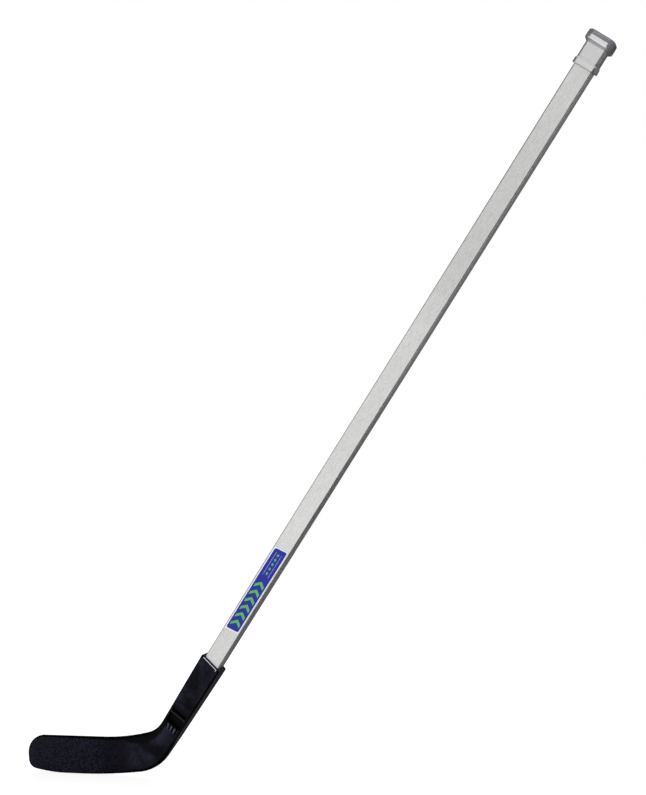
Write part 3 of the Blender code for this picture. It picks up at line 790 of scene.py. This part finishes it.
def roundCorners(outline, radius, steps):
    rounded = []
    for i, corner in enumerate(outline):
        here = Vector(corner)
        before = Vector(outline[i - 1]) - here
        after = Vector(outline[(i + 1) % len(outline)]) - here
        start, end = here + before.normalized() * radius, here + after.normalized() * radius
        for step in range(steps + 1):
            t = step / steps
            rounded.append(tuple(start * (1 - t) ** 2 + here * 2 * t * (1 - t) + end * t ** 2))
    return rounded


def chevronOutline(side, base):
    arm, reach = labelLook["chevronArm"], labelLook["chevronReach"]
    lower = [(side, base), (0, base + reach), (-side, base)]
    upper = [(x, z + arm) for x, z in reversed(lower)]
    return [slanted(x, z) for x, z in lower + upper]


def makeLabel():
    look = labelLook
    dressNode("label", makeInkMaterial("paleFilm", look["film"]))
    # the film's own outline, measured in the shaft's frame
    corners = cornersOnShaft("label")
    heights = [corner.z for corner in corners]
    halfWidth = max(abs(corner.x) for corner in corners)
    lift = halfWidth * math.tan(math.radians(look["slant"]))
    halfLength = (max(heights) - min(heights)) / 2 - lift

    w, h = halfWidth - look["border"], halfLength - look["border"]
    field = [slanted(w, -h), slanted(w, h), slanted(-w, h), slanted(-w, -h)]
    field = roundCorners(field, look["cornerRadius"], look["cornerSteps"])
    printShapes("label_blue_field", [field], 0, makeInkMaterial("blueInk", look["blue"]))

    foot, top = look["endMargin"] - h, h - look["endMargin"]
    side = w - look["chevronMargin"]
    places = [foot + i * look["chevronPitch"] for i in range(look["chevronCount"])]
    chevrons = [chevronOutline(side, place) for place in places]
    dx, dz = look["shadowOffset"]
    shadows = [[(x + dx, z + dz) for x, z in outline] for outline in chevrons]
    darkGreen = makeInkMaterial("darkGreenInk", look["darkGreen"])
    printShapes("label_chevron_shadows", shadows, 1, darkGreen)
    green = makeInkMaterial("greenInk", look["green"])
    printShapes("label_chevrons", chevrons, 2, green)

    a, b = (size / 2 for size in look["diamondSize"])
    places = [top - b - i * look["diamondPitch"] for i in range(look["diamondCount"])]
    diamonds = [[(a, z), (0, z + b), (-a, z), (0, z - b)] for z in places]
    printShapes("label_diamonds", diamonds, 1, green)

    thin = look["lineWidth"] / 2
    end = top - look["diamondCount"] * look["diamondPitch"]
    lines = [
        [(x - thin, end), (x + thin, end), (x + thin, top), (x - thin, top)]
        for x in (-look["lineGap"], look["lineGap"])
    ]
    printShapes("label_thin_lines", lines, 1, makeInkMaterial("paleInk", look["pale"]))


makeLabel()
print("label done")


# Fixing screws: countersunk heads with a cross recess

screwLook = {
    "colour": (0.62, 0.62, 0.60),
    "roughness": (0.24, 0.38),
    "cloudScale": 1400.0,
    "cloudTone": (0.9, 1.06),
    "cloudDepth": 0.000006,
    "recessWidth": 0.0010,
    "recessLength": 0.0040,
    "recessFloor": 0.55,  # share of the length left at the bottom
    "recessDepth": 0.0015,
    "recessProud": 0.00045,  # how far the cutter stands out of the head
    "recessShadeTone": 0.35,
    "recessShadeDepth": (0.0001, 0.0010),
}


def makeScrewMaterial():
    look = screwLook
    material, tree, shader = newMaterial("zincPlate")
    place = shaftPlace(tree)
    cloud = noise(tree, place, look["cloudScale"], 3.0, 0.6)
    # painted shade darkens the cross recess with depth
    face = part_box("upper_screw")[1].y
    depth = maths(tree, "SUBTRACT", face, axisOf(tree, place, "Y"))
    recessShade = remap(tree, depth, *look["recessShadeDepth"], 1.0, look["recessShadeTone"])
    level = multiply(tree, varied(tree, cloud, *look["cloudTone"]), recessShade)
    link(tree, tinted(tree, look["colour"], level), shader, "Base Color")
    link(tree, varied(tree, cloud, *look["roughness"]), shader, "Roughness")
    link(tree, bump(tree, cloud, look["cloudDepth"]), shader, "Normal")
    shader.inputs["Metallic"].default_value = 1.0
    return material


def makeCrossCutter(node):
    # two crossed wedges that narrow towards the recess's floor
    look = screwLook
    face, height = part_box(node)[1].y, heightOnShaft(middleOf(node))
    ends = ((-look["recessProud"], 1.0), (look["recessDepth"], look["recessFloor"]))
    shape = bmesh.new()
    for crossed in (False, True):
        # the second wedge is a hair thinner, so that no two faces lie on each other
        sides = look["recessWidth"] / 2 * (0.98 if crossed else 1.0)
        rings = []
        for depth, share in ends:
            length = look["recessLength"] / 2 * share
            corners = [(-length, -sides), (length, -sides), (length, sides), (-length, sides)]
            if crossed:
                corners = [(-z, x) for x, z in corners]
            rings.append([shape.verts.new((x, face - depth, height + z)) for x, z in corners])
        outer, inner = rings
        shape.faces.new(outer)
        shape.faces.new(reversed(inner))
        for i in range(4):
            shape.faces.new((outer[i], inner[i], inner[i - 3], outer[i - 3]))
    bmesh.ops.recalc_face_normals(shape, faces=shape.faces)
    mesh = bpy.data.meshes.new("crossCutter")
    shape.to_mesh(mesh)
    shape.free()
    cutter = addToScene("crossCutter", mesh)
    cutter.matrix_world = frameMatrix
    return cutter


def makeBlank(node):
    # a copy of the screw with its seams joined, so that the cut finds one closed body
    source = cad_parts[node]
    shape = bmesh.new()
    shape.from_mesh(source.data)
    bmesh.ops.remove_doubles(shape, verts=shape.verts, dist=1e-6)
    mesh = bpy.data.meshes.new(node + "_blank")
    shape.to_mesh(mesh)
    shape.free()
    blank = addToScene(node + "_blank", mesh)
    blank.matrix_world = source.matrix_world
    return blank


def makeScrew(node, material):
    blank, cutter = makeBlank(node), makeCrossCutter(node)
    cut = blank.modifiers.new("recess", "BOOLEAN")
    cut.operation, cut.object, cut.solver = "DIFFERENCE", cutter, "EXACT"
    cut.use_self = True
    bpy.context.view_layer.update()
    done = blank.evaluated_get(bpy.context.evaluated_depsgraph_get())
    piece = addToScene(node + "_with_recess", bpy.data.meshes.new_from_object(done))
    piece.matrix_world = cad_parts[node].matrix_world
    for spare in (blank, cutter):
        bpy.data.objects.remove(spare)
    piece.data.materials.clear()
    piece.data.materials.append(material)
    smoothNode(piece)
    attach(piece, "root")
    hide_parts(node)
    print(node, "cut,", len(piece.data.polygons), "faces")


zincPlate = makeScrewMaterial()
for screwName in ("upper_screw", "lower_screw"):
    makeScrew(screwName, zincPlate)
print("screws done")


# Camera at the photograph's viewing angle

cameraLook = {
    "azimuth": 24.137,
    "elevation": 0.9025,
    "roll": -4.440,
    "target": (0.5142, 0.0, 0.6022),
    "distance": 2.32849,
    "lens": 68.358,  # millimetres on a 36 mm long side
    "nearest": 0.01,
}


def makeCamera():
    look = cameraLook
    azimuth, elevation = math.radians(look["azimuth"]), math.radians(look["elevation"])
    flat = math.cos(elevation)
    back = Vector((math.sin(azimuth) * flat, -math.cos(azimuth) * flat, math.sin(elevation)))
    camera = addToScene("camera", bpy.data.cameras.new("camera"))
    turn = (-back).to_track_quat("-Z", "Y").to_matrix().to_4x4()
    place = Matrix.Translation(Vector(look["target"]) + back * look["distance"])
    camera.matrix_world = place @ turn @ Matrix.Rotation(math.radians(look["roll"]), 4, "Z")
    camera.data.lens = look["lens"]
    camera.data.clip_start = look["nearest"]
    bpy.context.scene.camera = camera


makeCamera()
print("camera done")


# Studio: a pale floor that runs into a white surround, soft lamps and grey cards

studioLook = {
    "floorSize": 80.0,
    "floorHeight": -0.0001,
    "floorColour": 0.70,
    "floorRoughness": 0.9,
    "floorGlow": 0.72,  # white added for the camera near the stick, 1 where the floor ends
    "floorMiddle": (0.4, 0, 0),
    "floorFade": (1.0, 2.6),  # metres from the middle where the floor turns to plain white
    "surround": 0.20,
    "lampTarget": (0.45, 0, 0.5),
    "cardColour": (0.12, 0.12, 0.1296),
}


def isSeen(tree):
    # one for the camera and in reflections, zero for the light itself
    path = addNode(tree, "LightPath").outputs
    glass = maths(tree, "MAXIMUM", path["Is Glossy Ray"], path["Is Transmission Ray"])
    return maths(tree, "MAXIMUM", path["Is Camera Ray"], glass)


def makeSurround():
    world = bpy.data.worlds.new("surround")
    bpy.context.scene.world = world
    world.use_nodes = True
    tree = world.node_tree
    shader = tree.nodes["Background"]
    shader.inputs["Color"].default_value = (1, 1, 1, 1)
    level = remap(tree, isSeen(tree), 0.0, 1.0, studioLook["surround"], 1.0)
    link(tree, level, shader, "Strength")


def makeSheet(name, corners, material):
    mesh = bpy.data.meshes.new(name)
    mesh.from_pydata(corners, [], [range(len(corners))])
    mesh.materials.append(material)
    sheet = addToScene(name, mesh)
    return sheet


def makeFloor():
    look = studioLook
    material, tree, shader = newMaterial("paleFloor")
    away = vectorMaths(tree, "DISTANCE", worldPlace(tree), look["floorMiddle"], output="Value")
    faded = remap(tree, away, *look["floorFade"], 0.0, 1.0, smooth=True)
    level = remap(tree, faded, 0.0, 1.0, look["floorColour"], 0.0)
    link(tree, tinted(tree, (1, 1, 1), level), shader, "Base Color")
    shader.inputs["Roughness"].default_value = look["floorRoughness"]
    shader.inputs["Specular IOR Level"].default_value = 0.0
    glow = multiply(tree, remap(tree, faded, 0.0, 1.0, look["floorGlow"], 1.0), isSeen(tree))
    white = addNode(tree, "Emission", {"Color": (1, 1, 1, 1), "Strength": glow})
    both = addNode(tree, "AddShader", {0: shader.outputs[0], 1: white.outputs[0]})
    link(tree, both.outputs[0], tree.nodes["Material Output"], "Surface")
    half, z = look["floorSize"] / 2, look["floorHeight"]
    corners = [(-half, -half, z), (half, -half, z), (half, half, z), (-half, half, z)]
    makeSheet("floor", corners, material)


# lamp: place, disk size, watts; each aims at the middle of the stick
lampLook = {
    "keyLamp": ((0.95, -3.20, 1.05), 1.8, 92),
    "rearLamp": ((-1.40, 2.60, 1.90), 1.8, 60),
}


def makeLamps():
    for name, (place, size, power) in lampLook.items():
        lamp = bpy.data.lights.new(name, "AREA")
        lamp.shape = "DISK"
        lamp.size = size
        lamp.energy = power
        holder = addToScene(name, lamp)
        holder.visible_glossy = False  # the surround and the cards make the reflections
        holder.location = place
        aim = Vector(studioLook["lampTarget"]) - holder.location
        holder.rotation_euler = aim.to_track_quat("-Z", "Y").to_euler()


# cards seen only in reflections: they leave the surround open to the front and to the
# back right, and keep every steep face of the stick dark
cardLow, cardHigh = 0.002, 5.0
cardLook = {
    "floor_card_back": [
        (-3, 0.05, cardLow), (0.7, 0.05, cardLow), (2.2, 2.6, cardLow), (-3, 2.6, cardLow)
    ],
    "floor_card_front": [
        (0.22, -0.05, cardLow), (1.4, -3.0, cardLow), (5, -3.0, cardLow), (5, 2.0, cardLow)
    ],
    "back_card": [
        (-3, 1.5, 0), (1.7, 1.5, 0), (4, 1.5, 2), (4, 1.5, cardHigh), (-3, 1.5, cardHigh)
    ],
    "side_card": [(-3, -1.3, 0), (-3, 1.5, 0), (-3, 1.5, cardHigh), (-3, -1.3, cardHigh)],
    "floor_card_middle": [
        (-0.25, -0.03, cardLow),
        (0.22, -0.03, cardLow),
        (0.22, 0.05, cardLow),
        (-0.25, 0.05, cardLow),
    ],
    "right_card": [(4, -1.8, 0.9), (4, 0.4, 0.9), (4, 0.4, 2.6), (4, -1.8, 2.6)],
    "top_card": [(-6, -6.5, cardHigh), (6, -6.5, cardHigh), (6, 4, cardHigh), (-6, 4, cardHigh)],
}


def makeCards():
    material, tree, _ = newMaterial("greyCard")
    colour = (*studioLook["cardColour"], 1)
    glow = addNode(tree, "Emission", {"Color": colour, "Strength": 1.0})
    link(tree, glow.outputs[0], tree.nodes["Material Output"], "Surface")
    for name, corners in cardLook.items():
        card = makeSheet(name, corners, material)
        for ray in ("camera", "diffuse", "transmission", "volume_scatter", "shadow"):
            setattr(card, "visible_" + ray, False)


makeSurround()
makeFloor()
makeLamps()
makeCards()
bpy.context.scene.view_settings.view_transform = "Standard"
print("studio done")
